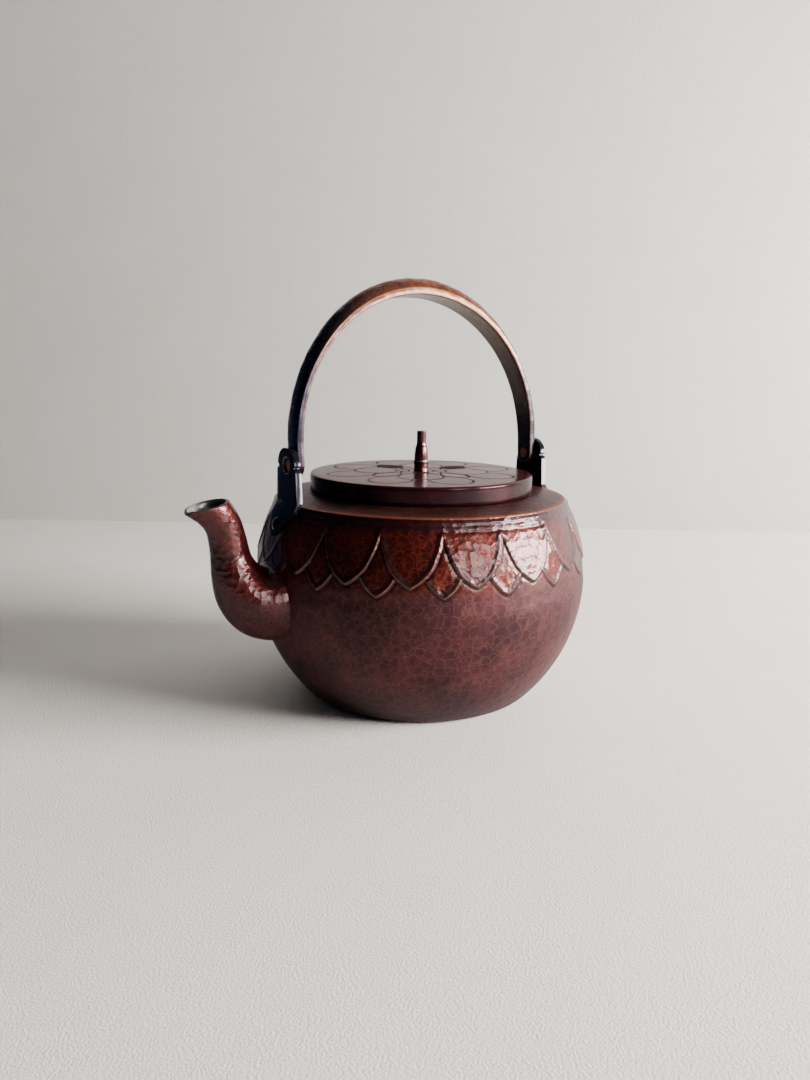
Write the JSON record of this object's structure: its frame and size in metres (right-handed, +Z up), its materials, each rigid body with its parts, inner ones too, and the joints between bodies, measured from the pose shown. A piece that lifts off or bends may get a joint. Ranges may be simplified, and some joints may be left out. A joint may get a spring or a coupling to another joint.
{
  "type": "copper kettle",
  "caption": "Small hammered copper kettle with a chased petal band, curved spout, lift-off cap lid with a stem knob, and a swinging bail handle on two riveted lugs.",
  "frame": {"origin": "centre of the flat base, on the surface the kettle stands on", "axes": "+Z up along the kettle's axis; the spout points along -X; the handle, the lugs and the spout stand in the XZ plane, and the handle swings about an axis along X"},
  "size_m": [0.1595, 0.13, 0.1599],
  "materials": {
    "lacquered_copper": "hammered copper with a glossy dark red-brown lacquered patina",
    "lid_copper": "smooth planished copper, polished brown patina",
    "knob_copper": "turned copper, polished red-brown patina",
    "dark_copper": "forged copper with a nearly black glossy patina",
    "handle_copper": "forged copper, dark patina worn to bare metal along the top",
    "bright_copper": "bare copper, burnished",
    "tinned_copper": "tinned copper, satin grey",
    "silver_ring": "polished silver solder ring"
  },
  "bodies": {
    "root": {"kettle_body": "lacquered_copper", "mouth_collar": "tinned_copper", "spout": "lacquered_copper", "front_lug": "dark_copper", "rear_lug": "dark_copper", "front_lug_rivet": "dark_copper", "rear_lug_rivet": "dark_copper", "front_pin": "bright_copper", "rear_pin": "bright_copper"},
    "handle": {"handle": "handle_copper"},
    "lid": {"lid_cap": "lid_copper", "knob_foot": "lid_copper", "knob_ring": "silver_ring", "knob_washer": "bright_copper", "lid_knob": "knob_copper"}
  },
  "joints": [
    {"name": "handle_swing", "type": "hinge", "parent": "root", "child": "handle", "pos_m": [0, 0, 0.0919], "axis": [1, 0, 0], "range_deg": [-98, 105]},
    {"name": "lid_lift", "type": "slide", "parent": "root", "child": "lid", "axis": [0, 0, 1], "range_m": [0, 0.032]}
  ]
}
